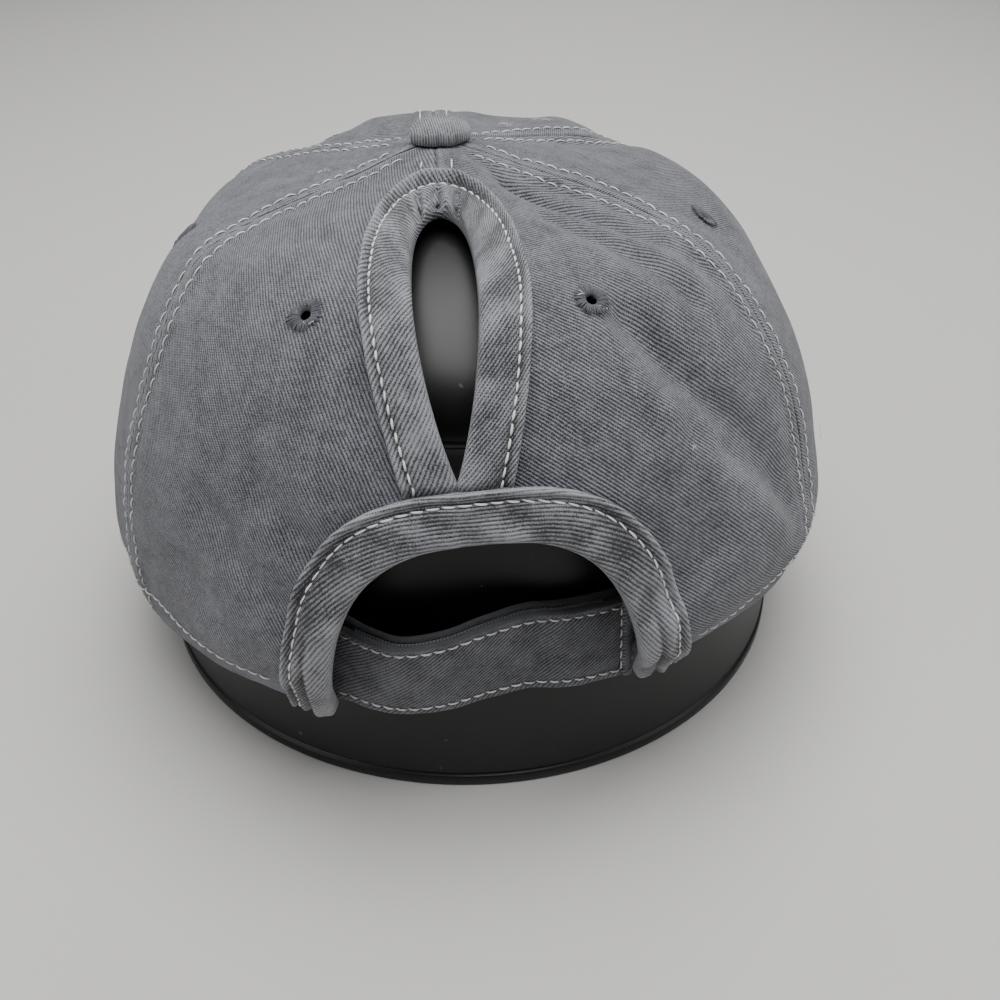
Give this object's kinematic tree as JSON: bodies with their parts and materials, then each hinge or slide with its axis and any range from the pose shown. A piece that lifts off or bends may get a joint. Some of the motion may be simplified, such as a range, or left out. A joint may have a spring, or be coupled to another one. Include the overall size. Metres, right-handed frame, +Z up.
{
  "type": "ponytail baseball cap on a plain dome stand",
  "caption": "Washed cotton baseball cap with a bound keyhole slit and strap-closed back arch for a ponytail, resting on a plain black dome stand.",
  "frame": {"origin": "middle of the whole object's box, on the surface that the stand rests on", "axes": "+Z up; +Y from the back arch towards the brim; +X to the right seen from the back of the cap"},
  "size_m": [0.1994, 0.2684, 0.1346],
  "materials": {
    "grey_twill": "washed cotton twill, mid grey, worn lighter at seams and edges",
    "binding_twill": "turned twill facing with white top stitching",
    "closure_tape": "woven hook and loop tape",
    "stand_plastic": "black moulded plastic, satin gloss"
  },
  "bodies": {
    "root": {"display_stand": "stand_plastic", "crown_front_left": "grey_twill", "crown_side_left": "grey_twill", "crown_back_left": "grey_twill", "crown_back_right": "grey_twill", "crown_side_right": "grey_twill", "crown_front_right": "grey_twill", "keyhole_binding": "binding_twill", "arch_binding": "binding_twill", "top_button": "grey_twill", "brim": "grey_twill", "strap_outer": "grey_twill", "strap_inner": "grey_twill", "hook_tape": "closure_tape", "loop_tape": "closure_tape"}
  },
  "joints": []
}
